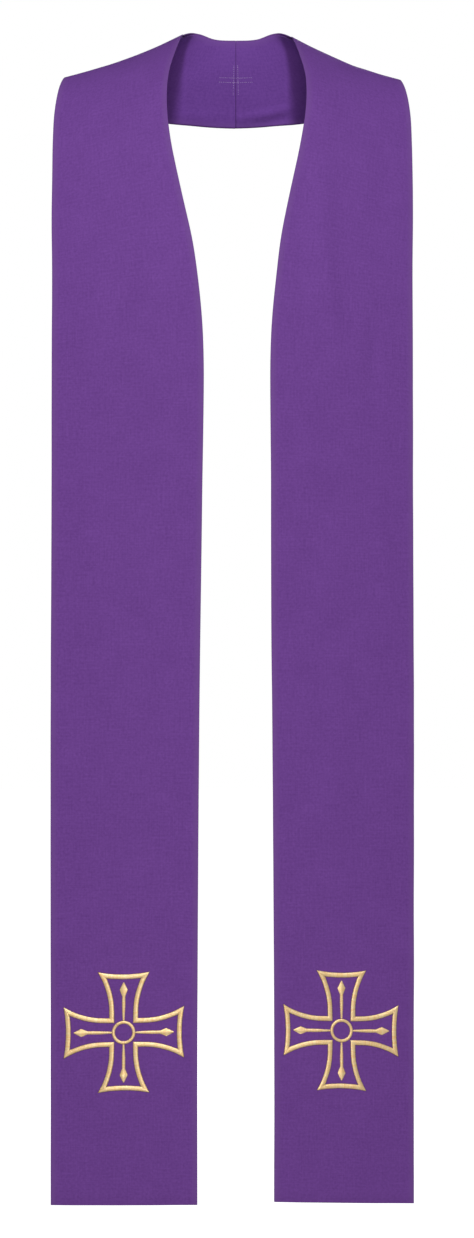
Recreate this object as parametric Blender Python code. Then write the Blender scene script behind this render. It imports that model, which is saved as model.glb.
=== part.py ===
"""Clerical stole: a lined band of purple cloth, in the hollow form it has when worn.

The band starts at a seam at the centre back of the neck, goes over each shoulder and hangs
down the front to a straight hem.  +X is the wearer's left, +Y the wearer's back and +Z up.
The origin is the middle of the neck opening, level with the shoulders that carry the stole.
"""
import math

import bmesh
import bpy
from mathutils import Matrix, Vector

MM = 0.001

# Driving dimensions, in millimetres.
CLOTH_THICK = 1.2
LINING_THICK = 1.0
THREAD_THICK = 0.9
SEAM_GAP = 0.3
LINING_INSET = 2.5
HEM_INSET = 3.0
PANEL_WIDTH = 150.0
CROSS_ABOVE_HEM = 177.0
CROSS_ACROSS_RIGHT = 0.50
CROSS_ACROSS_LEFT = 0.475
CROSS_REACH = 62.0
CROSS_END_HALF = 27.0
CROSS_CROTCH = 15.0
CROSS_SIDE_SWEEP = 3.6
CROSS_END_SWEEP = 2.5
OUTLINE_WIDTH = 5.6
CROSS_SIDE_STEPS = 4
CROSS_END_STEPS = 4
RING_OUTER = 12.2
RING_INNER = 8.6
RING_SEGMENTS = 36
# Each bar, from the ring outwards: distance from the middle of the cross, half the width.
BAR_PROFILE = ((26.0, 1.8), (37.0, 1.8), (43.5, 4.6), (51.0, 0.6))
BACK_CROSS_HALF_WIDTH = 18.0
BACK_CROSS_HALF_HEIGHT = 16.5
BACK_CROSS_ARM = 4.8
BACK_CROSS_DOWN = 43.0

# Mesh steps: how many faces run across the band, and the length of a face along it,
# up to each distance from the centre back.
FACES_ACROSS = 9
STEPS_ALONG = ((330.0, 8.5), (560.0, 17.0), (1400.0, 46.0))

# Sections of the wearer's right half, from the centre-back seam to the hem, in millimetres.
# "along" is measured on the middle of the band.  Each section runs from a point on the neck
# edge to a point on the outer edge, and "bow" lifts its middle off the straight line.
SECTION_COLUMNS = ("name", "along",
                   "neck_x", "neck_y", "neck_z",
                   "outer_x", "outer_y", "outer_z", "bow")
SECTIONS = (
    ("centre back",        0,  0.0,   78,    6,    0.0, 105,   -85, -3.0),
    ("neck curve",        36,  -22,   78,    7,    -52, 104,   -82, -3.0),
    ("back of neck",      68,  -37,   75,   12,    -98,  97,   -77, -3.0),
    ("side of neck",      97,  -47,   67,   12,   -139,  79,   -71, -3.0),
    ("back of shoulder", 134,  -54,   46,    7,   -173,  39,   -59, -3.5),
    ("shoulder ridge",   171,  -57,   17,    1,   -178,  -2, -45.5, -3.0),
    ("shoulder bend",    206,  -63,  -13,  -19,   -184, -30,   -59, -2.0),
    ("front of shoulder", 242, -70,  -41,  -48,   -188, -51,   -87,  0.0),
    ("collarbone",       280,  -71,  -65,  -84,   -189, -65,  -118,  2.0),
    ("upper chest",      322,  -66,  -83, -125,   -189, -78,  -155,  2.5),
    ("armhole level",    372,  -55,  -99, -177,   -189, -91,  -203,  3.0),
    ("chest",            434,  -42, -113, -238,   -188, -102, -257,  3.0),
    ("under chest",      521,  -33, -123, -330,   -188, -110, -338,  3.0),
    ("waist",            668,  -34, -126, -480,   -188, -113, -482,  3.0),
    ("middle of panel",  900,  -37, -125, -712,   -189, -113, -714,  2.5),
    ("cross",           1220,  -39, -124, -1032,  -189, -112, -1035, 2.0),
    ("hem",             1398,  -39, -123, -1210,  -189, -111, -1212, 2.0),
)
HALF_LENGTH = SECTIONS[-1][1]

# How the left half differs: its outer edge lies further back and in, its neck edge goes over
# the shoulder a little further out, its chest hangs a little more open, and its hem tilts up
# towards the middle.
LEFT_OUTER_SHIFT = Vector((-6.0, 26.0, 1.0))
LEFT_OUTER_SPAN = (60.0, 190.0)
LEFT_NECK_SHIFT = Vector((3.0, 0.0, -2.5))
LEFT_NECK_SPAN = (80.0, 150.0, 210.0, 330.0)
LEFT_CHEST_OPENS = 2.6
LEFT_CHEST_SPAN = (360.0, 470.0, 560.0, 860.0)
LEFT_HEM_TILT = 3.0
LEFT_HEM_SPAN = (1000.0, 1398.0)

PURPLE = (0.155, 0.055, 0.295, 1.0)
LINING_PURPLE = (0.125, 0.045, 0.255, 1.0)
GOLD = (0.86, 0.63, 0.22, 1.0)
CLOTH_ROUGHNESS = 0.82
THREAD_ROUGHNESS = 0.42


def empty_the_scene():
    for item in list(bpy.data.objects):
        bpy.data.objects.remove(item, do_unlink=True)


def section_rows():
    """The sections as dictionaries, with a mirrored one before the centre back."""
    rows = [dict(zip(SECTION_COLUMNS, row)) for row in SECTIONS]
    mirrored = dict(rows[1], along=-rows[1]["along"],
                    neck_x=-rows[1]["neck_x"], outer_x=-rows[1]["outer_x"])
    return [mirrored] + rows


ROWS = section_rows()


def smooth(low, high, value):
    step = min(max((value - low) / (high - low), 0.0), 1.0)
    return step * step * (3.0 - 2.0 * step)


def slope_at(index, read):
    """Slope of one column at a section, from the sections on both sides of it."""
    before = ROWS[max(index - 1, 0)]
    after = ROWS[min(index + 1, len(ROWS) - 1)]
    return (read(after) - read(before)) / (after["along"] - before["along"])


def along_curve(along, read):
    """A smooth curve through the sections for one column or point."""
    index = 1
    while index < len(ROWS) - 2 and ROWS[index + 1]["along"] < along:
        index += 1
    start, end = ROWS[index], ROWS[index + 1]
    length = end["along"] - start["along"]
    t = (along - start["along"]) / length
    value = read(start) * (2 * t**3 - 3 * t**2 + 1)
    value = value + slope_at(index, read) * ((t**3 - 2 * t**2 + t) * length)
    value = value + read(end) * (3 * t**2 - 2 * t**3)
    return value + slope_at(index + 1, read) * ((t**3 - t**2) * length)


def neck_point(row):
    return Vector((row["neck_x"], row["neck_y"], row["neck_z"]))


def outer_point(row):
    return Vector((row["outer_x"], row["outer_y"], row["outer_z"]))


def chord_point(side, along, across):
    """Point on the straight line between the two edges, before the bow is added."""
    neck = along_curve(along, neck_point)
    outer = along_curve(along, outer_point)
    if side > 0:
        low, full, falling, done = LEFT_CHEST_SPAN
        opens = smooth(low, full, along) - smooth(falling, done, along)
        neck.x = LEFT_CHEST_OPENS * opens - neck.x
        outer.x = -outer.x
        outer += LEFT_OUTER_SHIFT * smooth(*LEFT_OUTER_SPAN, along)
        low, full, falling, done = LEFT_NECK_SPAN
        neck += LEFT_NECK_SHIFT * (smooth(low, full, along) - smooth(falling, done, along))
        tilt = LEFT_HEM_TILT * smooth(*LEFT_HEM_SPAN, along)
        neck.z += tilt
        outer.z -= tilt
    return neck.lerp(outer, across)


def outward(side, along, across, point):
    """Unit normal of a surface given as a function, on the side away from the wearer."""
    reach = 0.5
    share = 0.005
    run = point(side, along + reach, across) - point(side, along - reach, across)
    rise = point(side, along, across + share) - point(side, along, across - share)
    return (run.cross(rise) * side).normalized()


def bowed_point(side, along, across):
    """Point on the inner face of the outer cloth."""
    bow = along_curve(along, lambda row: row["bow"]) * 4.0 * across * (1.0 - across)
    normal = outward(side, along, across, chord_point)
    return chord_point(side, along, across) + normal * bow


def cloth_point(side, along, across, lift):
    """Point of the band, moved out of the inner face of the outer cloth by a lift."""
    normal = outward(side, along, across, bowed_point)
    return (bowed_point(side, along, across) + normal * lift) * MM


def rows_along(first, last):
    """Distances along the band for the mesh, closer together round the neck and shoulder."""
    places = [first]
    done = first
    for limit, step in STEPS_ALONG:
        end = min(limit, last)
        count = max(1, round((end - done) / step))
        places += [done + (end - done) * k / count for k in range(1, count + 1)]
        done = end
    return places


def link(name, mesh_data, material):
    """Make an object of the mesh, with its faces pointing out."""
    mesh = bpy.data.meshes.new(name)
    bmesh.ops.recalc_face_normals(mesh_data, faces=mesh_data.faces)
    if mesh_data.calc_volume(signed=True) < 0.0:
        bmesh.ops.reverse_faces(mesh_data, faces=mesh_data.faces)
    for face in mesh_data.faces:
        face.smooth = True
    mesh_data.to_mesh(mesh)
    mesh_data.free()
    mesh.materials.append(material)
    item = bpy.data.objects.new(name, mesh)
    collection.objects.link(item)
    return item


def plain_material(name, colour, roughness):
    material = bpy.data.materials.new(name)
    material.use_nodes = True
    shader = material.node_tree.nodes["Principled BSDF"]
    shader.inputs["Base Color"].default_value = colour
    shader.inputs["Roughness"].default_value = roughness
    shader.inputs["Metallic"].default_value = 0.0
    material.diffuse_color = colour
    return material


def thicken(mesh_data, place, low, high):
    """Give flat faces two skins: the first at the low lift and the second at the high."""
    flat = {vert: vert.co.copy() for vert in mesh_data.verts}
    copy = bmesh.ops.extrude_face_region(mesh_data, geom=mesh_data.faces[:], use_keep_orig=True)
    raised = [item for item in copy["geom"] if isinstance(item, bmesh.types.BMVert)]
    for vert, where in flat.items():
        vert.co = place(where, low)
    for vert in raised:
        vert.co = place(vert.co.copy(), high)


def cloth_wall(name, side, low, high, inset, hem_inset, material):
    """One half of the band as a wall between two lifts, set in from its long edges."""
    places = rows_along(SEAM_GAP / 2, HALF_LENGTH - hem_inset)
    mesh_data = bmesh.new()
    bmesh.ops.create_grid(mesh_data, x_segments=len(places) - 1, y_segments=FACES_ACROSS, size=0.5)
    margin = inset / PANEL_WIDTH

    def place(where, lift):
        along = places[round((where.x + 0.5) * (len(places) - 1))]
        across = margin + (where.y + 0.5) * (1.0 - 2.0 * margin)
        return cloth_point(side, along, across, lift)

    thicken(mesh_data, place, low, high)
    return link(name, mesh_data, material)


def arc_between(start, end, sweep, steps):
    """Points from start to end on a shallow arc that swings to the left by the sweep."""
    run = end - start
    left = Vector((-run.y, run.x)).normalized()
    return [start + run * (k / steps) + left * (sweep * 4 * (k / steps) * (1 - k / steps))
            for k in range(steps)]


def cross_outline():
    """Corners of a cross with four arms that widen outwards, counterclockwise."""
    points = []
    for quarter in range(4):
        turn = quarter * math.pi / 2
        crotch = Vector((CROSS_CROTCH, -CROSS_CROTCH))
        low = Vector((CROSS_REACH, -CROSS_END_HALF))
        high = Vector((CROSS_REACH, CROSS_END_HALF))
        next_crotch = Vector((CROSS_CROTCH, CROSS_CROTCH))
        arm = arc_between(crotch, low, CROSS_SIDE_SWEEP, CROSS_SIDE_STEPS)
        arm += arc_between(low, high, CROSS_END_SWEEP, CROSS_END_STEPS)
        arm += arc_between(high, next_crotch, CROSS_SIDE_SWEEP, CROSS_SIDE_STEPS)
        for point in arm:
            x = point.x * math.cos(turn) - point.y * math.sin(turn)
            y = point.x * math.sin(turn) + point.y * math.cos(turn)
            points.append((x, y, 0.0))
    return points


def front_place(side):
    """Where a point of the front embroidery lies: x runs across the panel and y up it."""
    middle = CROSS_ACROSS_LEFT if side > 0 else CROSS_ACROSS_RIGHT

    def place(where, lift):
        along = HALF_LENGTH - CROSS_ABOVE_HEM - where.y
        return cloth_point(side, along, middle + where.x / PANEL_WIDTH, lift)
    return place


def thread_lifts():
    low = CLOTH_THICK + SEAM_GAP
    return low, low + THREAD_THICK


def cross_border(name, side, material):
    mesh_data = bmesh.new()
    corners = [mesh_data.verts.new(point) for point in cross_outline()]
    middle = mesh_data.faces.new(corners)
    mesh_data.normal_update()
    bmesh.ops.inset_region(mesh_data, faces=[middle], thickness=OUTLINE_WIDTH,
                           use_boundary=True, use_even_offset=True)
    bmesh.ops.delete(mesh_data, geom=[middle], context="FACES_ONLY")
    thicken(mesh_data, front_place(side), *thread_lifts())
    return link(name, mesh_data, material)


def ring_and_bars(name, side, material):
    """A ring at the crossing with a slim bar along each arm that ends in a lozenge."""
    mesh_data = bmesh.new()
    rim = bmesh.ops.create_circle(mesh_data, segments=RING_SEGMENTS, radius=RING_OUTER)["verts"]
    bmesh.ops.rotate(mesh_data, verts=rim, cent=(0, 0, 0),
                     matrix=Matrix.Rotation(math.pi / RING_SEGMENTS, 3, "Z"))
    edges = mesh_data.edges[:]
    inner = bmesh.ops.extrude_edge_only(mesh_data, edges=edges)["geom"]
    inner = [item for item in inner if isinstance(item, bmesh.types.BMVert)]
    bmesh.ops.scale(mesh_data, vec=Vector((1, 1, 1)) * (RING_INNER / RING_OUTER), verts=inner)
    for quarter in range(4):
        angle = quarter * math.pi / 2
        out = Vector((math.cos(angle), math.sin(angle), 0.0))
        left = Vector((-out.y, out.x, 0.0))
        edge = max(edges, key=lambda item: (item.verts[0].co + item.verts[1].co).dot(out))
        for distance, half in BAR_PROFILE:
            grown = bmesh.ops.extrude_edge_only(mesh_data, edges=[edge])["geom"]
            edge = next(item for item in grown if isinstance(item, bmesh.types.BMEdge))
            for vert in edge.verts:
                hand = 1.0 if vert.co.dot(left) > 0 else -1.0
                vert.co = out * distance + left * (half * hand)
    thicken(mesh_data, front_place(side), *thread_lifts())
    return link(name, mesh_data, material)


def back_cross(name, material):
    """The small plain cross over the seam, on the outside of the neck."""
    half = BACK_CROSS_ARM / 2
    mesh_data = bmesh.new()
    bmesh.ops.create_grid(mesh_data, x_segments=3, y_segments=3, size=0.5)
    columns = (-BACK_CROSS_HALF_WIDTH, -half, half, BACK_CROSS_HALF_WIDTH)
    rows = (-BACK_CROSS_HALF_HEIGHT, -half, half, BACK_CROSS_HALF_HEIGHT)
    for vert in mesh_data.verts:
        vert.co.x = columns[round((vert.co.x + 0.5) * 3)]
        vert.co.y = rows[round((vert.co.y + 0.5) * 3)]
    corners = [face for face in mesh_data.faces
               if abs(face.calc_center_median().x) > half
               and abs(face.calc_center_median().y) > half]
    bmesh.ops.delete(mesh_data, geom=corners, context="FACES")
    bmesh.ops.bisect_plane(mesh_data, geom=mesh_data.faces[:] + mesh_data.edges[:],
                           plane_co=(0, 0, 0), plane_no=(1, 0, 0), dist=1e-6)
    width = (neck_point(ROWS[1]) - outer_point(ROWS[1])).length

    def place(where, lift):
        across = (BACK_CROSS_DOWN - where.y) / width
        side = 1 if where.x > 0 else -1
        return cloth_point(side, abs(where.x), across, lift)

    thicken(mesh_data, place, *thread_lifts())
    return link(name, mesh_data, material)


def build():
    purple = plain_material("purple cloth", PURPLE, CLOTH_ROUGHNESS)
    lining = plain_material("lining cloth", LINING_PURPLE, CLOTH_ROUGHNESS)
    gold = plain_material("gold thread", GOLD, THREAD_ROUGHNESS)
    for name, side in (("right", -1), ("left", 1)):
        cloth_wall(name + "_outer", side, 0.0, CLOTH_THICK, 0.0, 0.0, purple)
        cloth_wall(name + "_lining", side, -SEAM_GAP - LINING_THICK, -SEAM_GAP,
                   LINING_INSET, HEM_INSET, lining)
        cross_border(name + "_cross_border", side, gold)
        ring_and_bars(name + "_cross_ring", side, gold)
    back_cross("back_neck_cross", gold)


empty_the_scene()
collection = bpy.data.collections.new("clerical stole")
bpy.context.scene.collection.children.link(collection)
build()
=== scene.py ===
# %% [markdown]
# # A clerical stole
#
# A stole is a long band of cloth that is worn round the neck and hangs down the front.  This
# lesson dresses a plain solid model of one.  The solids come in as a fixed frame, and each of
# them is replaced by cloth or thread of the same size, in the same place.

# %% Load the frame
import math
import random

import bmesh
import bpy
from mathutils import Matrix, Vector, noise
from mathutils.bvhtree import BVHTree


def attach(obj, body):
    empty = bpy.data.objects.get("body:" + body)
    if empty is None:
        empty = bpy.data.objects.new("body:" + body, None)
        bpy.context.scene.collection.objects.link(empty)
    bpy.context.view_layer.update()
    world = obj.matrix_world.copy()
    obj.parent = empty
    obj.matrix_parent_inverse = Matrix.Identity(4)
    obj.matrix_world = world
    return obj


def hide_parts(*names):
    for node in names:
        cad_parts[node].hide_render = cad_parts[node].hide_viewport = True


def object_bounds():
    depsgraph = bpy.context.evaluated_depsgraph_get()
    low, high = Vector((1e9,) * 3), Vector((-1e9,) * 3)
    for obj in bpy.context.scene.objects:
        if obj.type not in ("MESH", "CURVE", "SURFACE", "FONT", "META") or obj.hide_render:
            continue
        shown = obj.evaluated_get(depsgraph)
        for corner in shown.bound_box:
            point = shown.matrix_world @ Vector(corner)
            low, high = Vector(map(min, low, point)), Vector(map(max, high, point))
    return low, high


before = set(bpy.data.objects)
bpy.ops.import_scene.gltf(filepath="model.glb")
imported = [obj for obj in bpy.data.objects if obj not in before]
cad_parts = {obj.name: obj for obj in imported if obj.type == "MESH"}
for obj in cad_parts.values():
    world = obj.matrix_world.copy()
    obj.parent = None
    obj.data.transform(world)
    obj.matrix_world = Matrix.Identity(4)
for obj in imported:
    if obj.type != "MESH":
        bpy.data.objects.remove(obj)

cad_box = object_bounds()
MM = 0.001
print("nodes:", ", ".join(sorted(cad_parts)))
print("CAD box in metres:", [[round(v, 3) for v in corner] for corner in cad_box])

# %% [markdown]
# ## Small helpers
#
# Some steps come back again and again: an object is linked to the scene, a bmesh becomes a mesh,
# a material is started from its Principled shader, and a node is added to a tree.  Each of them
# gets a short function here.

# %% Objects, meshes, materials and nodes
WHITE = (1.0, 1.0, 1.0, 1.0)


def add_object(name, data):
    """A new object in the scene that holds a mesh, a camera or a light."""
    item = bpy.data.objects.new(name, data)
    bpy.context.scene.collection.objects.link(item)
    return item


def mesh_of(name, work):
    """A new mesh with what is in a bmesh, which is freed."""
    mesh = bpy.data.meshes.new(name)
    work.to_mesh(mesh)
    work.free()
    return mesh


def shade_smooth(work):
    """Let the light run smoothly over the faces of a bmesh."""
    for face in work.faces:
        face.smooth = True


def new_material(name):
    """A new material, its node tree and its Principled shader."""
    material = bpy.data.materials.new(name)
    material.use_nodes = True
    tree = material.node_tree
    return material, tree, tree.nodes["Principled BSDF"]


def node_at(tree, kind, **settings):
    """A new node in a tree, with the node's own settings."""
    node = tree.nodes.new(kind)
    for key, value in settings.items():
        setattr(node, key, value)
    return node


# %% [markdown]
# ## The camera
#
# The stole is shown as worn, with nobody in it.  The camera stands level with its middle and
# far off, so that the panels keep almost parallel edges.  The lens follows from the distance of
# the panels and from the height, in metres, that the picture has there.

# %% Camera
FRAME_HEIGHT_PX = 1238
METRES_PER_PX = 0.001021
CAMERA_DISTANCE = 4.0
FRONT_PLANE_Y = -0.115
CAMERA_X = 0.0013
CAMERA_Z = -0.613
SENSOR_MM = 36.0

camera_data = bpy.data.cameras.new("camera")
camera_data.sensor_width = SENSOR_MM
camera_data.lens = SENSOR_MM * CAMERA_DISTANCE / (FRAME_HEIGHT_PX * METRES_PER_PX)
camera = add_object("camera", camera_data)
camera.location = (CAMERA_X, FRONT_PLANE_Y - CAMERA_DISTANCE, CAMERA_Z)
camera.rotation_euler = (math.radians(90), 0.0, 0.0)
bpy.context.scene.camera = camera
bpy.context.scene.view_settings.view_transform = "Standard"
print("lens in mm:", round(camera_data.lens, 1))

# %% [markdown]
# ## The room
#
# The stole hangs clear of a plain floor.  The Light Path node tells the rays from the camera
# from all others.  The camera sees a white floor and a white backdrop, while the rays that light
# the cloth meet a grey floor and a much dimmer room, which leaves the shadows deep.

# %% Floor and world
FLOOR_DROP = 0.10
FLOOR_HALF_SIZE = 12.0
FLOOR_GREY = (0.4, 0.4, 0.4, 1.0)
FLOOR_ROUGHNESS = 0.9
FLOOR_GLOW = 1.0
BACKDROP_GLOW = 1.0
ROOM_LIGHT = 0.08

floor_height = cad_box[0][2] - FLOOR_DROP
floor_work = bmesh.new()
bmesh.ops.create_grid(floor_work, x_segments=1, y_segments=1, size=FLOOR_HALF_SIZE)
bmesh.ops.translate(floor_work, verts=floor_work.verts, vec=(0, 0, floor_height))
floor = add_object("floor", mesh_of("floor", floor_work))

floor_material, floor_nodes, floor_shader = new_material("pale floor")
floor_shader.inputs["Base Color"].default_value = FLOOR_GREY
floor_shader.inputs["Roughness"].default_value = FLOOR_ROUGHNESS
floor_shader.inputs["Specular IOR Level"].default_value = 0.0
floor_shader.inputs["Emission Color"].default_value = WHITE
floor_path = node_at(floor_nodes, "ShaderNodeLightPath")
floor_glow = node_at(floor_nodes, "ShaderNodeMath", operation="MULTIPLY")
floor_glow.inputs[1].default_value = FLOOR_GLOW
floor_nodes.links.new(floor_path.outputs["Is Camera Ray"], floor_glow.inputs[0])
floor_nodes.links.new(floor_glow.outputs["Value"], floor_shader.inputs["Emission Strength"])
floor.data.materials.append(floor_material)

world = bpy.data.worlds.new("white room")
world.use_nodes = True
bpy.context.scene.world = world
world_nodes = world.node_tree
room = world_nodes.nodes["Background"]
room.inputs["Color"].default_value = WHITE
room.inputs["Strength"].default_value = ROOM_LIGHT
backdrop = node_at(world_nodes, "ShaderNodeBackground")
backdrop.inputs["Color"].default_value = WHITE
backdrop.inputs["Strength"].default_value = BACKDROP_GLOW
world_path = node_at(world_nodes, "ShaderNodeLightPath")
choose = node_at(world_nodes, "ShaderNodeMixShader")
world_output = world_nodes.nodes["World Output"]
world_nodes.links.new(world_path.outputs["Is Camera Ray"], choose.inputs["Fac"])
world_nodes.links.new(room.outputs["Background"], choose.inputs[1])
world_nodes.links.new(backdrop.outputs["Background"], choose.inputs[2])
world_nodes.links.new(choose.outputs["Shader"], world_output.inputs["Surface"])
print("floor height in metres:", round(floor_height, 3))

# %% [markdown]
# ## The lights
#
# Soft boxes are area lights: the larger the box, the softer its shadow.  The main one hangs high
# in front, so that light falls off gently down the panels.  It is narrow from side to side,
# which gives the shadows at the sides of the neck a fairly firm edge.  The fill box is level
# with the panels and a little warmer, and the back box lights the side that faces away.

# %% Soft boxes
# Each row: name, place, where it points, width, height, power in watts, colour.
SOFT_BOXES = (
    ("main box", (0.14, -3.8, 2.8), (0.0, 0.0, -0.3), 0.45, 1.3, 168.0, (0.95, 0.96, 1.0)),
    ("fill box", (0.05, -3.6, -0.5), (0.0, 0.0, -0.6), 0.7, 1.0, 36.0, (1.0, 0.97, 0.91)),
    ("back box", (0.3, 2.8, 0.5), (0.0, 0.0, -0.5), 2.0, 1.4, 50.0, (1.0, 1.0, 1.0)),
)


def soft_box(name, place, target, width, height, power, colour):
    """A rectangular area light that points at a target."""
    light = bpy.data.lights.new(name, "AREA")
    light.shape = "RECTANGLE"
    light.size = width
    light.size_y = height
    light.energy = power
    light.color = colour
    item = add_object(name, light)
    item.location = place
    aim = Vector(target) - Vector(place)
    item.rotation_euler = aim.to_track_quat("-Z", "Y").to_euler()


for row in SOFT_BOXES:
    soft_box(*row)
print("soft boxes:", len(SOFT_BOXES))

# %% [markdown]
# ## From a solid to a sheet
#
# Each half of the band is one solid wall, stored as loose triangles.  A copy is merged, its
# triangles are joined back into four-sided faces, and its thin rim is deleted.  That leaves two
# skins, and one of them is the sheet to work on.  A grid of four-sided faces matters, because
# Subdivision Surface rounds it evenly and a weave can follow its rows.

# %% One skin of a wall
RIM_WIDTH = 1.6 * MM
MERGE_REACH = 0.01 * MM
FLAT_ENOUGH = math.radians(40)
SQUARE_ENOUGH = math.radians(60)
HEM_FACES = 4


def merged_copy(node, corner_slack=SQUARE_ENOUGH):
    """A bmesh of a node with its triangles joined back into four-sided faces."""
    work = bmesh.new()
    work.from_mesh(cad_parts[node].data)
    bmesh.ops.remove_doubles(work, verts=work.verts, dist=MERGE_REACH)
    bmesh.ops.join_triangles(work, faces=work.faces, angle_face_threshold=FLAT_ENOUGH,
                             angle_shape_threshold=corner_slack)
    return work


def keep_island(work, seed_face):
    """Delete every face that isn't joined to the seed face."""
    found = {seed_face}
    waiting = [seed_face]
    while waiting:
        face = waiting.pop()
        for edge in face.edges:
            for other in edge.link_faces:
                if other not in found:
                    found.add(other)
                    waiting.append(other)
    strangers = [face for face in work.faces if face not in found]
    bmesh.ops.delete(work, geom=strangers, context="FACES")


def shortest_edge(face):
    """Length of a face's shortest edge."""
    return min(edge.calc_length() for edge in face.edges)


def wall_skin(node, outside):
    """The outer or the inner skin of a cloth wall, as an open sheet."""
    work = merged_copy(node)
    rim = [face for face in work.faces if shortest_edge(face) < RIM_WIDTH]
    bmesh.ops.delete(work, geom=rim, context="FACES")
    work.normal_update()
    lowest = sorted(work.faces, key=lambda face: face.calc_center_median().z)[:HEM_FACES]
    wanted = -1.0 if outside else 1.0
    seed_face = max(lowest, key=lambda face: face.normal.y * wanted)
    keep_island(work, seed_face)
    return work


first_sheet = wall_skin("right_outer", True)
print("faces in one sheet:", len(first_sheet.faces))
first_sheet.free()

# %% [markdown]
# ## Rows, columns and a flat pattern
#
# Cloth is cut flat, and its threads follow the cut.  So every corner of the sheet learns how
# far along the band it lies, from the centre-back seam, and how far across, from the middle.
# Those two lengths, in metres, become a UV map, and the weave is drawn on it later.  A second
# map holds the distances from the neck edge and from the outer edge, for the highlight that is
# painted along the edges.  The first row is the seam, and each next row is what the row before it
# touches.

# %% Label the rows and unroll the sheet
SEAM_REACH = 0.3 * MM


def label_grid(work):
    """Rows of corners from the seam to the hem, each ordered from the neck edge outwards."""
    row = [vert for vert in work.verts if abs(vert.co.x) < SEAM_REACH and vert.is_boundary]
    row.sort(key=lambda vert: -vert.co.z)
    rows = [row]
    seen_corners = set(row)
    while True:
        following = []
        for vert in rows[-1]:
            following += [edge.other_vert(vert) for edge in vert.link_edges
                          if edge.other_vert(vert) not in seen_corners]
        if not following:
            return rows
        seen_corners.update(following)
        rows.append(following)


def row_length(row):
    """Length of a row of corners, measured from one to the next."""
    return sum((a.co - b.co).length for a, b in zip(row, row[1:]))


def unroll(work, rows):
    """Write the flat pattern to a UV map and return the cut's length, width and area."""
    pattern, margins = {}, {}
    along = 0.0
    area = 0.0
    for index, row in enumerate(rows):
        middle = sum((vert.co for vert in row), Vector()) / len(row)
        if index > 0:
            step = (middle - before).length
            along += step
            area += step * (width + row_length(row)) / 2
        before = middle
        width = row_length(row)
        for column, vert in enumerate(row):
            part = column / (len(row) - 1)
            pattern[vert] = (width * (part - 0.5), along)
            margins[vert] = (width * part, width * (1 - part))
    for name, places in (("cloth", pattern), ("edges", margins)):
        layer = work.loops.layers.uv.new(name)
        for face in work.faces:
            for loop in face.loops:
                loop[layer].uv = places[loop.vert]
    return along, max(row_length(row) for row in rows), area


trial = wall_skin("right_outer", True)
trial_rows = label_grid(trial)
trial_cut = unroll(trial, trial_rows)
print("rows:", len(trial_rows), "columns:", {len(row) for row in trial_rows})
print("cut length, width and area:", [round(value, 4) for value in trial_cut])
trial.free()

# %% [markdown]
# ## Soft creases
#
# Lined cloth this firm has no folds, only shallow hollows and swells.  Each one is given as
# a row of a table: where its middle is on the flat pattern, how far it reaches along
# and across before it has faded, how high it stands, and how it is turned.  A little noise of
# a few tenths of a millimetre keeps the rest from looking like sheet metal.

# %% Creases for both halves
# Lengths in millimetres, turns in degrees.
CREASE_COLUMNS = ("half", "along", "across", "reach_along", "reach_across", "height", "turn")
CREASES = (
    ("left", 26, 33, 30, 4.5, -1.7, -7),
    ("left", 30, 43, 28, 4.0, 0.9, -7),
    ("right", 34, 37, 24, 5.0, -0.6, 6),
    ("right", 58, -12, 16, 11, 0.7, 20),
    ("left", 66, -8, 16, 12, 0.6, -15),
    ("right", 52, 12, 62, 8, 0.9, -63),
    ("right", 70, 12, 62, 9, -1.0, -63),
    ("left", 49, 12, 62, 8, 1.1, -63),
    ("left", 67, 12, 62, 9, -1.2, -63),
    ("right", 116, 30, 34, 10, 1.2, 40),
    ("right", 140, -2, 26, 9, -0.9, 32),
    ("left", 122, 26, 38, 11, 1.3, 34),
    ("left", 146, 4, 24, 9, -0.8, 24),
    ("right", 215, -18, 20, 17, 1.1, 0),
    ("left", 243, -38, 34, 16, 1.2, 4),
    ("right", 507, 16, 78, 10, -2.0, 23),
    ("right", 493, -21, 50, 11, 1.7, 20),
    ("right", 485, -53, 55, 9, -1.2, 2),
    ("right", 380, 46, 60, 12, 0.9, 12),
    ("left", 429, -22, 115, 12, 2.2, 9),
    ("left", 441, -47, 45, 9, -1.3, 8),
    ("left", 517, 34, 44, 11, -2.0, 0),
    ("left", 330, 30, 60, 14, -0.9, 6),
    ("right", 690, -42, 60, 13, -1.2, 0),
    ("right", 730, 38, 70, 15, 1.1, -6),
    ("left", 742, 46, 60, 10, 1.0, 10),
    ("left", 700, -30, 90, 16, -0.9, -3),
    ("right", 930, 20, 120, 20, 0.9, 4),
    ("left", 960, -12, 110, 18, 0.9, -4),
    ("right", 1330, -30, 44, 20, 0.9, -8),
    ("left", 1318, 26, 40, 18, 1.0, 10),
)
UNEVEN_HEIGHT = 0.7
UNEVEN_ALONG = 70.0
UNEVEN_ACROSS = 34.0
LEFT_SHIFT = 40.0
CREASE_LIST = [dict(zip(CREASE_COLUMNS, row)) for row in CREASES]


def crease_height(crease, across, along):
    """Height of one crease at a place on the pattern, all in millimetres."""
    turn = math.radians(crease["turn"])
    x = across - crease["across"]
    y = along - crease["along"]
    near_along = (y * math.cos(turn) + x * math.sin(turn)) / crease["reach_along"]
    near_across = (x * math.cos(turn) - y * math.sin(turn)) / crease["reach_across"]
    return crease["height"] * math.exp(-near_along ** 2 - near_across ** 2)


def relief(half, across, along):
    """Height of all creases and the unevenness at a place on a half's pattern."""
    total = sum(crease_height(crease, across, along) for crease in CREASE_LIST
                if crease["half"] == half)
    shift = LEFT_SHIFT if half == "left" else 0.0
    where = Vector((across / UNEVEN_ACROSS, along / UNEVEN_ALONG, shift))
    return total + UNEVEN_HEIGHT * noise.noise(where)


print("creases:", len(CREASE_LIST))

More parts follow.
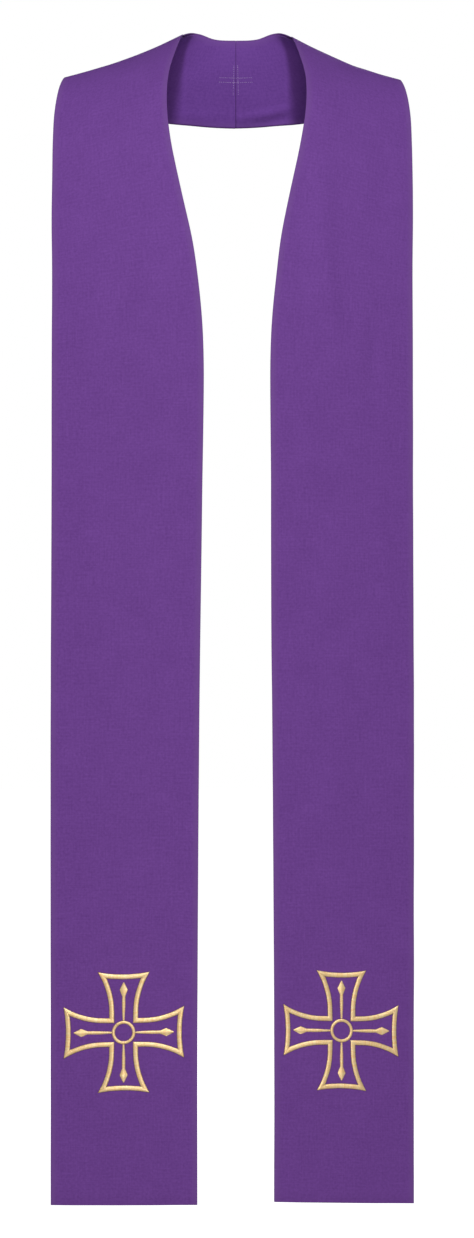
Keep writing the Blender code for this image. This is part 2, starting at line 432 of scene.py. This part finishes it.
# %% [markdown]
# ## A dense sheet with relief
#
# Subdivision Surface makes the sheet dense and round, and its result is kept as a new mesh.
# Then every point moves along its normal by the relief at its place on the flat pattern.  The
# lining takes the same relief as its cloth, so the sign turns with the side the sheet faces.

# %% Sheets with relief
CLOTH_LEVELS = 2


def settled_mesh(item):
    """The mesh of an object with its modifiers applied."""
    depsgraph = bpy.context.evaluated_depsgraph_get()
    depsgraph.update()
    return bpy.data.meshes.new_from_object(item.evaluated_get(depsgraph), depsgraph=depsgraph)


def subdivided(name, work):
    """A mesh of the sheet after Subdivision Surface, with sharp corners at the hem."""
    item = add_object(name + "_draft", mesh_of(name, work))
    rounding = item.modifiers.new("subdivide", "SUBSURF")
    rounding.levels = CLOTH_LEVELS
    rounding.render_levels = CLOTH_LEVELS
    rounding.boundary_smooth = "PRESERVE_CORNERS"
    dense = settled_mesh(item)
    bpy.data.objects.remove(item)
    return dense


def shape_relief(mesh, half, outward_sign):
    """Move each point along its normal by the relief at its place on the pattern."""
    work = bmesh.new()
    work.from_mesh(mesh)
    layer = work.loops.layers.uv["cloth"]
    work.normal_update()
    for vert in work.verts:
        across, along = vert.link_loops[0][layer].uv
        height = relief(half, across / MM, along / MM) * MM
        vert.co += vert.normal * (height * outward_sign)
    shade_smooth(work)
    work.to_mesh(mesh)
    work.free()


def close_seam(mesh):
    """Bring the first row of points to the middle, where the two halves are sewn together."""
    for vert in mesh.vertices:
        if abs(vert.co.x) < SEAM_REACH:
            vert.co.x = 0.0


print("small faces for each face of a sheet:", 4 ** CLOTH_LEVELS)

# %% [markdown]
# ## The cloth pieces
#
# Solidify gives each sheet the thickness of the real cloth, and a narrow Bevel rounds the turned
# edge.  The outer cloth grows inwards from its outer skin and the lining grows outwards from its
# inner skin, so that both keep the places of their solids.

# %% Make the cloth pieces
OUTER_THICK = 1.2 * MM
LINING_THICK = 1.0 * MM
EDGE_ROUND = 0.48 * MM
EDGE_STEPS = 3
EDGE_TURN = math.radians(55)
# Each row: layer, whether it is the outside of the stole, thickness.
LAYERS = (("outer", True, OUTER_THICK), ("lining", False, LINING_THICK))


def cloth_piece(name, node, half, outside, thick):
    """One piece of cloth in its solid's place, with its cut's length, width and area."""
    work = wall_skin(node, outside)
    length, width, area = unroll(work, label_grid(work))
    mesh = subdivided(name, work)
    shape_relief(mesh, half, 1.0 if outside else -1.0)
    close_seam(mesh)
    item = add_object(name, mesh)
    wall = item.modifiers.new("thickness", "SOLIDIFY")
    wall.thickness = thick
    wall.offset = -1.0
    edge = item.modifiers.new("turned edge", "BEVEL")
    edge.width = EDGE_ROUND
    edge.segments = EDGE_STEPS
    edge.limit_method = "ANGLE"
    edge.angle_limit = EDGE_TURN
    item.data = settled_mesh(item)
    item.modifiers.clear()
    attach(item, "root")
    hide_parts(node)
    print(name, "faces:", len(item.data.polygons), "cut:", round(length, 3), "by", round(width, 3))
    return item, length, width, area


cloth = {}
for half in ("right", "left"):
    for layer_name, outside, thick in LAYERS:
        node = half + "_" + layer_name
        item, length, width, area = cloth_piece(node + "_cloth", node, half, outside, thick)
        cloth[node] = item

# %% [markdown]
# ## Helpers for node groups
#
# A node group is a tree with inputs and outputs of its own, which many materials can share.
# These functions add the nodes that the groups below need most: arithmetic, noise, a stretch
# of the coordinates and a smooth step.

# %% Node helpers
VECTOR = "NodeSocketVector"
NUMBER = "NodeSocketFloat"


def new_group(name, inputs, outputs):
    """A shader node group, with the nodes that hold its inputs and its outputs."""
    tree = bpy.data.node_groups.new(name, "ShaderNodeTree")
    for socket, kind in inputs.items():
        tree.interface.new_socket(socket, in_out="INPUT", socket_type=kind)
    for socket in outputs:
        tree.interface.new_socket(socket, in_out="OUTPUT", socket_type=NUMBER)
    return tree, node_at(tree, "NodeGroupInput"), node_at(tree, "NodeGroupOutput")


def maths(tree, operation, first, second=None):
    """A Math node whose inputs are sockets or plain numbers; returns its output."""
    node = node_at(tree, "ShaderNodeMath", operation=operation)
    for slot, value in enumerate((first, second)):
        if isinstance(value, (int, float)):
            node.inputs[slot].default_value = value
        elif value is not None:
            tree.links.new(value, node.inputs[slot])
    return node.outputs[0]


def noise_value(tree, vector, scale, detail=2.0, roughness=0.5):
    """The value of a Noise Texture at a vector."""
    node = node_at(tree, "ShaderNodeTexNoise")
    node.inputs["Scale"].default_value = scale
    node.inputs["Detail"].default_value = detail
    node.inputs["Roughness"].default_value = roughness
    tree.links.new(vector, node.inputs["Vector"])
    return node.outputs["Fac"]


def stretched(tree, vector, scale_x, scale_y):
    """A vector with its first two parts multiplied."""
    node = node_at(tree, "ShaderNodeMapping")
    node.inputs["Scale"].default_value = (scale_x, scale_y, 1.0)
    tree.links.new(vector, node.inputs["Vector"])
    return node.outputs["Vector"]


def ramp(tree, value, low, high, start, end):
    """A smooth step from one output value to another as the input goes from low to high."""
    node = node_at(tree, "ShaderNodeMapRange", interpolation_type="SMOOTHSTEP")
    limits = {"From Min": low, "From Max": high, "To Min": start, "To Max": end}
    for name, number in limits.items():
        node.inputs[name].default_value = number
    tree.links.new(value, node.inputs["Value"])
    return node.outputs["Result"]


print("node groups so far:", len(bpy.data.node_groups))

# %% [markdown]
# ## Plain weave
#
# One node group draws the weave for every cloth here.  It works on the flat pattern in metres:
# warp threads run along the band and weft threads cross it, and each is on top in every other
# cell.  The group gives out a height for a bump and a shade that varies from thread to thread
# and in soft clouds, and the shaders themselves stay in the materials.

# %% The weave node group
# Noise scales are in waves for each metre.
CLOUD_SCALE = 30.0
GRAIN_SCALE = 380.0
GRAIN_ROUGHNESS = 0.6
SLUB_FINE_SCALE = 900.0
SLUB_LONG_SCALE = 40.0
CLOUD_SHARE = 0.14
GRAIN_SHARE = 0.46
SLUB_SHARE = 0.2
SHADE_LOW = 0.32
SHADE_HIGH = 0.68


def thread_rise(tree, place):
    """Height of a row of round threads, which is a new one at every whole number."""
    return maths(tree, "ABSOLUTE", maths(tree, "SINE", maths(tree, "MULTIPLY", place, math.pi)))


def plain_weave_group():
    """The node group that draws warp and weft on a flat pattern."""
    tree, start, end = new_group("plain weave", {"Pattern": VECTOR, "Thread": NUMBER},
                                 ("Height", "Shade"))
    pattern = start.outputs["Pattern"]
    split = node_at(tree, "ShaderNodeSeparateXYZ")
    tree.links.new(pattern, split.inputs["Vector"])
    column = maths(tree, "DIVIDE", split.outputs["X"], start.outputs["Thread"])
    row = maths(tree, "DIVIDE", split.outputs["Y"], start.outputs["Thread"])
    warp = thread_rise(tree, column)
    weft = thread_rise(tree, row)
    cells = maths(tree, "ADD", maths(tree, "FLOOR", column), maths(tree, "FLOOR", row))
    warp_on_top = maths(tree, "FLOORED_MODULO", cells, 2.0)
    weft_on_top = maths(tree, "SUBTRACT", 1.0, warp_on_top)
    height = maths(tree, "ADD", maths(tree, "MULTIPLY", warp, warp_on_top),
                   maths(tree, "MULTIPLY", weft, weft_on_top))
    tree.links.new(height, end.inputs["Height"])
    clouds = noise_value(tree, pattern, CLOUD_SCALE)
    grain = noise_value(tree, pattern, GRAIN_SCALE, roughness=GRAIN_ROUGHNESS)
    along_warp = stretched(tree, pattern, SLUB_FINE_SCALE, SLUB_LONG_SCALE)
    along_weft = stretched(tree, pattern, SLUB_LONG_SCALE, SLUB_FINE_SCALE)
    warp_slubs = noise_value(tree, along_warp, 1.0, detail=1.0)
    weft_slubs = noise_value(tree, along_weft, 1.0, detail=1.0)
    shade = 0.0
    for part, share in ((clouds, CLOUD_SHARE), (grain, GRAIN_SHARE),
                        (warp_slubs, SLUB_SHARE), (weft_slubs, SLUB_SHARE)):
        shade = maths(tree, "ADD", shade, maths(tree, "MULTIPLY", part, share))
    spread = node_at(tree, "ShaderNodeMapRange")
    spread.inputs["From Min"].default_value = SHADE_LOW
    spread.inputs["From Max"].default_value = SHADE_HIGH
    tree.links.new(shade, spread.inputs["Value"])
    tree.links.new(spread.outputs["Result"], end.inputs["Shade"])
    return tree


plain_weave = plain_weave_group()
print("group sockets:", [socket.name for socket in plain_weave.interface.items_tree])

# %% [markdown]
# ## Seam shade and edge highlight
#
# The second node group knows where the seam and the turned edges are on the flat pattern.
# Along the centre-back seam a fine dark line is painted shade, in place of the shade in the
# seam's groove.  Along the turned edges a strip a few millimetres wide is a little paler: a
# painted highlight, in place of the light on the rolled edge.

# %% The seam and edge node group
SEAM_HALF_WIDTH = 0.45 * MM
EDGE_HIGHLIGHT_CORE = 2.0 * MM
EDGE_HIGHLIGHT_WIDTH = 8.0 * MM


def seam_shade_and_edge_highlight_group():
    """The node group that knows where the painted seam shade and the painted edge highlight are.
    """
    tree, start, end = new_group("seam shade and edge highlight", {"Pattern": VECTOR, "Edges": VECTOR},
                                 ("Open Cloth", "Edge Highlight"))
    pattern = node_at(tree, "ShaderNodeSeparateXYZ")
    tree.links.new(start.outputs["Pattern"], pattern.inputs["Vector"])
    tree.links.new(ramp(tree, pattern.outputs["Y"], 0.0, SEAM_HALF_WIDTH, 0.0, 1.0),
                   end.inputs["Open Cloth"])
    edges = node_at(tree, "ShaderNodeSeparateXYZ")
    tree.links.new(start.outputs["Edges"], edges.inputs["Vector"])
    nearest = maths(tree, "MINIMUM", edges.outputs["X"], edges.outputs["Y"])
    tree.links.new(ramp(tree, nearest, EDGE_HIGHLIGHT_CORE, EDGE_HIGHLIGHT_WIDTH, 1.0, 0.0),
                   end.inputs["Edge Highlight"])
    return tree


seam_shade_and_edge_highlight = seam_shade_and_edge_highlight_group()
print("painted edge highlight in mm:", round(EDGE_HIGHLIGHT_WIDTH / MM, 1))

# %% [markdown]
# ## Purple cloth and its lining
#
# The cloth is a matt man-made fabric with a faint bloom of its own colour.  Base Color is a mix
# of a darker and a lighter purple by the weave's shade, then of a paler purple near the edges,
# which is a painted highlight, and darkened in the seam, which is painted shade.  Sheen is set
# on the shader itself.

# %% Cloth materials
THREAD_PITCH = 0.36 * MM
# Painted shade in the seam, as a share of the darker purple.
SEAM_SHADE = 0.48
EDGE_HIGHLIGHT_SHARE = 0.55
WEAVE_BUMP = 0.35
WEAVE_BUMP_HEIGHT = 0.08 * MM
CLOTH_SHINE = 0.10
BLOOM = (0.62, 0.42, 0.95, 1.0)
BLOOM_WEIGHT = 0.06
BLOOM_ROUGHNESS = 0.5
# Each row: name, darker purple, lighter purple, purple of the painted edge highlight, roughness.
OUTER_LOOK = ("purple cloth", (0.126, 0.042, 0.232, 1.0), (0.178, 0.065, 0.318, 1.0),
              (0.168, 0.073, 0.274, 1.0), 0.78)
# The lining is the same purple cloth; its purples are a little lighter and bluer, as painted light
# that brightens the inside of the neck.
LINING_LOOK = ("lining cloth", (0.130, 0.045, 0.260, 1.0), (0.184, 0.069, 0.356, 1.0),
               (0.174, 0.072, 0.310, 1.0), 0.74)


def mixed(tree, share, first, second):
    """A colour mix; the share and the colours are sockets or plain values."""
    node = node_at(tree, "ShaderNodeMixRGB")
    for name, value in (("Fac", share), ("Color1", first), ("Color2", second)):
        if isinstance(value, bpy.types.NodeSocket):
            tree.links.new(value, node.inputs[name])
        else:
            node.inputs[name].default_value = value
    return node.outputs["Color"]


def add_bump(tree, height, strength, distance, shader):
    """Let a height tilt the light on a shader."""
    bump = node_at(tree, "ShaderNodeBump")
    bump.inputs["Strength"].default_value = strength
    bump.inputs["Distance"].default_value = distance
    tree.links.new(height, bump.inputs["Height"])
    tree.links.new(bump.outputs["Normal"], shader.inputs["Normal"])


def cloth_material(name, dark, light, highlight_purple, roughness):
    """A woven cloth with a painted seam shade and a painted edge highlight, in purples of its own.
    """
    material, tree, shader = new_material(name)
    pattern = node_at(tree, "ShaderNodeUVMap", uv_map="cloth").outputs["UV"]
    edges = node_at(tree, "ShaderNodeUVMap", uv_map="edges").outputs["UV"]
    weave = node_at(tree, "ShaderNodeGroup", node_tree=plain_weave)
    weave.inputs["Thread"].default_value = THREAD_PITCH
    tree.links.new(pattern, weave.inputs["Pattern"])
    marks = node_at(tree, "ShaderNodeGroup", node_tree=seam_shade_and_edge_highlight)
    tree.links.new(pattern, marks.inputs["Pattern"])
    tree.links.new(edges, marks.inputs["Edges"])
    colour = mixed(tree, weave.outputs["Shade"], dark, light)
    # Painted highlight: a paler purple along the turned edges.
    edge_highlight = maths(tree, "MULTIPLY", marks.outputs["Edge Highlight"], EDGE_HIGHLIGHT_SHARE)
    colour = mixed(tree, edge_highlight, colour, highlight_purple)
    # Painted shade: a dark line down the seam, in place of the shade in its groove.
    painted_seam_shade = [part * SEAM_SHADE for part in dark[:3]] + [1.0]
    colour = mixed(tree, marks.outputs["Open Cloth"], painted_seam_shade, colour)
    tree.links.new(colour, shader.inputs["Base Color"])
    height = maths(tree, "MULTIPLY", weave.outputs["Height"], marks.outputs["Open Cloth"])
    add_bump(tree, height, WEAVE_BUMP, WEAVE_BUMP_HEIGHT, shader)
    shader.inputs["Roughness"].default_value = roughness
    shader.inputs["Specular IOR Level"].default_value = CLOTH_SHINE
    shader.inputs["Sheen Weight"].default_value = BLOOM_WEIGHT
    shader.inputs["Sheen Roughness"].default_value = BLOOM_ROUGHNESS
    shader.inputs["Sheen Tint"].default_value = BLOOM
    return material


purple = cloth_material(*OUTER_LOOK)
lining = cloth_material(*LINING_LOOK)
for node, item in cloth.items():
    item.data.materials.clear()
    item.data.materials.append(purple if node.endswith("outer") else lining)
print("materials:", purple.name, "and", lining.name)

# %% [markdown]
# ## Strips for satin stitch
#
# Each line of the embroidery is a satin column: threads laid side by side from one edge of the
# line to the other.  The solids already have these columns as strips of four-sided faces, so
# the script walks over the faces from one edge to the opposite one, takes the closed rings
# first and then the longest of what is left, and keeps each strip's two rails.

# %% Walk the strips of a solid's top skin
FRONT = Vector((0, -1, 0))
BACK = Vector((0, 1, 0))
STITCHED = (("right_cross_border", FRONT), ("right_cross_ring", FRONT),
            ("left_cross_border", FRONT), ("left_cross_ring", FRONT),
            ("back_neck_cross", BACK))
FACING_SHARE = 0.5
ANY_CORNERS = math.radians(180)


def top_skin(node, facing):
    """The faces of a solid that look along the facing direction, as an open mesh."""
    work = merged_copy(node, ANY_CORNERS)
    hidden = [face for face in work.faces if face.normal.dot(facing) < FACING_SHARE]
    bmesh.ops.delete(work, geom=hidden, context="FACES")
    seam = [edge for edge in work.edges if all(abs(vert.co.x) < SEAM_REACH for vert in edge.verts)]
    bmesh.ops.dissolve_edges(work, edges=seam, use_verts=True)
    return work


def walk(face, edge, used):
    """Edges and faces met on the way from an edge, until the strip ends or comes round."""
    rungs, faces = [edge], []
    while face is not None and face not in used and face not in faces:
        loop = next(item for item in face.loops if item.edge is rungs[-1])
        rungs.append(loop.link_loop_next.link_loop_next.edge)
        faces.append(face)
        beyond = [item for item in rungs[-1].link_faces if item is not face]
        face = beyond[0] if beyond else None
    return rungs, faces


def rails_of(rungs):
    """The two sides of a strip as lists of points, followed from rung to rung."""
    corners = [list(rungs[0].verts)]
    for rung in rungs[1:]:
        first = corners[-1][0]
        pair = sorted(rung.verts, key=lambda vert: (vert.co - first.co).length)
        joined = [vert for vert in rung.verts if any(edge.other_vert(vert) is first
                                                     for edge in vert.link_edges)]
        if joined:
            pair.sort(key=lambda vert: vert is not joined[0])
        corners.append(pair)
    return [[pair[side].co.copy() for pair in corners] for side in (0, 1)]


def strips_of(work):
    """Every strip of a skin as its two rails, and whether it comes round to its start."""
    strips, used = [], set()
    while len(used) < len(work.faces):
        walks = [walk(face, edge, used) for face in work.faces if face not in used
                 for edge in face.edges]
        rungs, faces = max(walks, key=lambda pair: (pair[0][0] is pair[0][-1], len(pair[1])))
        strips.append((rails_of(rungs), rungs[0] is rungs[-1]))
        used.update(faces)
    return strips


strips = {}
for node, facing in STITCHED:
    skin = top_skin(node, facing)
    strips[node] = strips_of(skin)
    print(node, "faces in each strip:", [len(rails[0]) - 1 for rails, closed in strips[node]])
    skin.free()

# %% [markdown]
# ## Even steps along a strip
#
# Threads lie side by side at an even step, so each strip is measured along its middle and gets
# two stations for each thread.  Between its points a rail is eased into a curve by a cubic that
# takes its direction from the neighbours, but a corner stays a corner.

# %% Stations along a strip
THREAD_STEP = 0.45 * MM
CORNER_TURN = math.radians(15)


def tangent_at(rail, closed, index, step):
    """Direction of a rail at one of its points, as left on the side that step points to."""
    last = len(rail) - 1
    before = rail[index - 1] if index > 0 else rail[last - 1] if closed else None
    after = rail[index + 1] if index < last else rail[1] if closed else None
    if before is None:
        return after - rail[index]
    if after is None:
        return rail[index] - before
    if (rail[index] - before).angle(after - rail[index]) < CORNER_TURN:
        return (after - before) / 2
    return (after - rail[index]) if step > 0 else (rail[index] - before)


def rail_point(rail, closed, index, part):
    """A point between two of a rail's points, on the curve through them."""
    start, end = rail[index], rail[index + 1]
    leave = tangent_at(rail, closed, index, 1)
    arrive = tangent_at(rail, closed, index + 1, -1)
    square = part ** 2
    cube = part ** 3
    return (start * (2 * cube - 3 * square + 1) + leave * (cube - 2 * square + part)
            + end * (3 * square - 2 * cube) + arrive * (cube - square))


def stations(rails, closed):
    """Pairs of rail points, two for each thread, evenly spaced along the strip's middle."""
    middles = [(a + b) / 2 for a, b in zip(*rails)]
    lengths = [(b - a).length for a, b in zip(middles, middles[1:])]
    count = 2 * max(2, round(sum(lengths) / THREAD_STEP))
    pairs = []
    index, passed = 0, 0.0
    for number in range(count + 1):
        place = sum(lengths) * number / count
        while index < len(lengths) - 1 and place > passed + lengths[index]:
            passed += lengths[index]
            index += 1
        part = min(1.0, (place - passed) / lengths[index])
        pairs.append([rail_point(rail, closed, index, part) for rail in rails])
    return pairs


ring_rails, ring_closed = strips["right_cross_ring"][0]
print("threads in one ring:", len(stations(ring_rails, ring_closed)) // 2)

# %% [markdown]
# ## Satin stitch
#
# A strip becomes a grid with two rows of points for each thread, one on its ridge and one in the
# groove beside it.  Each point is brought down to the visible cloth and lifted again by a dome,
# so the threads rise from the cloth and dive back into it, and the needle's small misses make
# the edge uneven.  Extruding makes its side faces in an order that changes from run to run, so
# the faces are sorted afterwards.

# %% Grow the threads
SEED = 11
THREAD_RISE = 0.85 * MM
RIDGE_RISE = 0.16 * MM
ROOT_DEPTH = 0.10 * MM
NEEDLE_MISS = 0.16 * MM
DOME_POWER = 2.4
POINTS_ACROSS = 7
GRID_HALF = 0.5
GRID_END = 0.4999
JOIN_REACH = 0.001 * MM


def surface_of(*items):
    """A search tree of the visible cloth, to lay things on it."""
    work = bmesh.new()
    for item in items:
        work.from_mesh(item.data)
    tree = BVHTree.FromBMesh(work)
    work.free()
    return tree


def grid_place(vert, last):
    """Number of a point's row, and its place across from 0 to 1, on the unit grid."""
    return round((vert.co.x + GRID_HALF) * last), vert.co.y + GRID_HALF


def sort_faces(work):
    """Put the faces in the order of their points, which is the same each run."""
    work.verts.index_update()
    total = len(work.verts)

    def place_in_order(face):
        numbers = [vert.index for vert in face.verts]
        return min(numbers) * total + max(numbers)

    work.faces.sort(key=place_in_order)


def stitch_column(rails, closed, surface, chance):
    """One satin column as a closed body that grows out of the cloth."""
    pairs = stations(rails, closed)
    last = len(pairs) - 1
    work = bmesh.new()
    bmesh.ops.create_grid(work, x_segments=last, y_segments=POINTS_ACROSS - 1, size=GRID_HALF)
    layer = work.loops.layers.uv.new("stitch")
    for face in work.faces:
        for loop in face.loops:
            row, across = grid_place(loop.vert, last)
            loop[layer].uv = (row / 2, across)
    raised = set(work.verts)
    bmesh.ops.extrude_face_region(work, geom=work.faces[:], use_keep_orig=True)
    if closed:
        ends = [face for face in work.faces
                if all(abs(vert.co.x) > GRID_END for vert in face.verts)]
        bmesh.ops.delete(work, geom=ends, context="FACES_ONLY")
    misses = [[chance.uniform(-NEEDLE_MISS, NEEDLE_MISS) for pair in pairs] for side in (0, 1)]
    for vert in work.verts:
        row, across = grid_place(vert, last)
        first, second = pairs[row]
        sideways = (second - first).normalized()
        start = first - sideways * misses[0][row % last]
        end = second + sideways * misses[1][row % last]
        spot, normal = surface.find_nearest(start.lerp(end, across))[:2]
        dome = 1 - abs(2 * across - 1) ** DOME_POWER
        rise = (THREAD_RISE + RIDGE_RISE * (row % 2)) * dome if vert in raised else 0.0
        vert.co = spot + normal * (rise - ROOT_DEPTH)
    if closed:
        bmesh.ops.remove_doubles(work, verts=work.verts, dist=JOIN_REACH)
    sort_faces(work)
    bmesh.ops.recalc_face_normals(work, faces=work.faces)
    if work.calc_volume(signed=True) < 0:
        bmesh.ops.reverse_faces(work, faces=work.faces)
    return work


def joined_object(name, bodies):
    """One object of several bodies, shaded smooth."""
    whole = bmesh.new()
    for body in bodies:
        part = mesh_of("part", body)
        whole.from_mesh(part)
        bpy.data.meshes.remove(part)
    shade_smooth(whole)
    return add_object(name, mesh_of(name, whole))


surfaces = {"right": surface_of(cloth["right_outer"]),
            "left": surface_of(cloth["left_outer"]),
            "back": surface_of(cloth["right_outer"], cloth["left_outer"])}
chance = random.Random(SEED)
stitched = {}
for node, facing in STITCHED:
    surface = surfaces[node.split("_")[0]]
    bodies = [stitch_column(rails, closed, surface, chance) for rails, closed in strips[node]]
    name = node + "_stitches"
    stitched[node] = joined_object(name, bodies)
    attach(stitched[node], "root")
    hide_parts(node)
    print(name, "faces:", len(stitched[node].data.polygons))

# %% [markdown]
# ## Gold thread
#
# Metallic embroidery thread is a thin gilt strip wound round a core: pale straw where it
# catches the light.  Brown is painted at both edges of each column, where the threads dive
# into the cloth: mostly painted shade, partly the thread's own dark root.  The node group reads
# the thread's number and the place across the column from the "stitch" map, and gives out a
# shade that differs from thread to thread, a mask for the painted root shade and the fine slant
# of the winding.

# %% Gold thread material
GILT_DEEP = (1.0, 0.57, 0.17, 1.0)
GILT_PALE = (1.0, 0.86, 0.54, 1.0)
# Painted shade: brown at both edges of a column, where the threads dive into the cloth.
GILT_ROOT_SHADE = (0.10, 0.03, 0.02, 1.0)
GILT_METALLIC = 0.40
GILT_ROUGHNESS = 0.38
THREAD_SHARE = 0.45
PATCH_SHARE = 0.55
PATCH_ALONG_SCALE = 0.12
PATCH_ACROSS_SCALE = 0.6
ROOT_SHADE_STARTS = 0.36
ROOT_SHADE_FULL = 0.49
WINDING_TURNS = 14.0
WINDING_BUMP = 0.3
WINDING_BUMP_HEIGHT = 0.05 * MM


def satin_thread_group():
    """The node group that tells one wound thread of a column from the next."""
    tree, start, end = new_group("satin thread", {"Stitch": VECTOR},
                                 ("Shade", "Root Shade", "Winding"))
    split = node_at(tree, "ShaderNodeSeparateXYZ")
    tree.links.new(start.outputs["Stitch"], split.inputs["Vector"])
    number = maths(tree, "FLOOR", split.outputs["X"])
    thread_chance = node_at(tree, "ShaderNodeTexWhiteNoise", noise_dimensions="1D")
    tree.links.new(number, thread_chance.inputs["W"])
    patch_place = stretched(tree, start.outputs["Stitch"], PATCH_ALONG_SCALE, PATCH_ACROSS_SCALE)
    patches = noise_value(tree, patch_place, 1.0)
    shade = maths(tree, "ADD",
                  maths(tree, "MULTIPLY", thread_chance.outputs["Value"], THREAD_SHARE),
                  maths(tree, "MULTIPLY", patches, PATCH_SHARE))
    tree.links.new(shade, end.inputs["Shade"])
    from_middle = maths(tree, "ABSOLUTE", maths(tree, "SUBTRACT", split.outputs["Y"], 0.5))
    tree.links.new(ramp(tree, from_middle, ROOT_SHADE_STARTS, ROOT_SHADE_FULL, 0.0, 1.0), end.inputs["Root Shade"])
    turns = maths(tree, "MULTIPLY", split.outputs["Y"], WINDING_TURNS)
    slant = maths(tree, "ADD", turns, split.outputs["X"])
    tree.links.new(maths(tree, "SINE", maths(tree, "MULTIPLY", slant, 2 * math.pi)),
                   end.inputs["Winding"])
    return tree


def gold_material():
    """Gilt thread, pale where it catches the light, with brown painted shade at its roots."""
    material, tree, shader = new_material("gold thread")
    uv = node_at(tree, "ShaderNodeUVMap", uv_map="stitch")
    thread = node_at(tree, "ShaderNodeGroup", node_tree=satin_thread)
    tree.links.new(uv.outputs["UV"], thread.inputs["Stitch"])
    gilt = mixed(tree, thread.outputs["Shade"], GILT_DEEP, GILT_PALE)
    # Painted shade at the roots of the threads.
    colour = mixed(tree, thread.outputs["Root Shade"], gilt, GILT_ROOT_SHADE)
    tree.links.new(colour, shader.inputs["Base Color"])
    add_bump(tree, thread.outputs["Winding"], WINDING_BUMP, WINDING_BUMP_HEIGHT, shader)
    shader.inputs["Metallic"].default_value = GILT_METALLIC
    shader.inputs["Roughness"].default_value = GILT_ROUGHNESS
    return material


satin_thread = satin_thread_group()
gold = gold_material()
for item in stitched.values():
    item.data.materials.append(gold)
print("gold on", len(stitched), "pieces")

# %% [markdown]
# ## The wrong side of the back cross
#
# The little cross behind the neck is sewn through the lining, so its outline shows inside as
# small stitches of a pale lower thread.  Both of its lines are walked from end to end this time,
# because the rows of needle holes run right through the crossing.  Each stitch is a tiny
# flattened ball on the lining, put where a line from the front, through a point of a rail, meets
# the cloth.

# %% Stitches inside the neck
UNDER_THREAD_GAP = 1.9 * MM
UNDER_THREAD_SIZE = (0.72 * MM, 0.21 * MM, 0.20 * MM)
UNDER_THREAD_SPREAD = (0.7, 1.2)
UNDER_THREAD_DRIFT_MM = 0.3
LOOK_FROM = 30 * MM
BALL_POINTS = 12


def crossing_lines(node, facing):
    """The lines of a plain cross as pairs of rails that run right through the crossing."""
    skin = top_skin(node, facing)
    walks = [walk(face, edge, set()) for face in skin.faces for edge in face.edges]
    longest = max(len(faces) for rungs, faces in walks)
    lines = {frozenset(faces): rails_of(rungs) for rungs, faces in walks if len(faces) == longest}
    skin.free()
    return list(lines.values())


def rail_marks(rail, gap):
    """Places at even steps along a rail, each with the rail's direction there."""
    marks = []
    for start, end in zip(rail, rail[1:]):
        count = max(1, round((end - start).length / gap))
        marks += [(start.lerp(end, (k + 0.5) / count), (end - start).normalized())
                  for k in range(count)]
    return marks


inside = surface_of(cloth["right_lining"], cloth["left_lining"])
under = bmesh.new()
for rails in crossing_lines("back_neck_cross", BACK):
    for rail in rails:
        for place, direction in rail_marks(rail, UNDER_THREAD_GAP):
            drift = chance.uniform(-UNDER_THREAD_DRIFT_MM, UNDER_THREAD_DRIFT_MM)
            place = place + direction * drift * MM
            spot = inside.ray_cast(place + FRONT * LOOK_FROM, BACK)[0]
            ball = bmesh.ops.create_icosphere(under, subdivisions=1, radius=1.0)["verts"]
            size = [part * chance.uniform(*UNDER_THREAD_SPREAD) for part in UNDER_THREAD_SIZE]
            turn = direction.to_track_quat("X", "Z").to_matrix().to_4x4()
            matrix = Matrix.Translation(spot) @ turn @ Matrix.Diagonal((*size, 1.0))
            bmesh.ops.transform(under, matrix=matrix, verts=ball)
shade_smooth(under)
under_mesh = mesh_of("under_thread_stitches", under)
under_thread = add_object("under_thread_stitches", under_mesh)
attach(under_thread, "root")
print("stitches inside:", len(under_mesh.vertices) // BALL_POINTS)

# %% [markdown]
# ## Pale lower thread
#
# The lower thread is plain and spun, not gilt.  A fine noise on the Object coordinates mixes a
# shaded and a light colour of it, which both lean to the purple of the lining behind them.

# %% Pale thread material
PALE_SHADED = (0.40, 0.30, 0.50, 1.0)
PALE_LIGHT = (0.72, 0.64, 0.76, 1.0)
PALE_ROUGHNESS = 0.6
FUZZ_SCALE = 1500.0

pale, pale_tree, pale_shader = new_material("pale under thread")
where = node_at(pale_tree, "ShaderNodeTexCoord").outputs["Object"]
fuzz = noise_value(pale_tree, where, FUZZ_SCALE)
pale_colour = mixed(pale_tree, fuzz, PALE_SHADED, PALE_LIGHT)
pale_tree.links.new(pale_colour, pale_shader.inputs["Base Color"])
pale_shader.inputs["Roughness"].default_value = PALE_ROUGHNESS
under_mesh.materials.append(pale)
print("materials in all:", len(bpy.data.materials))
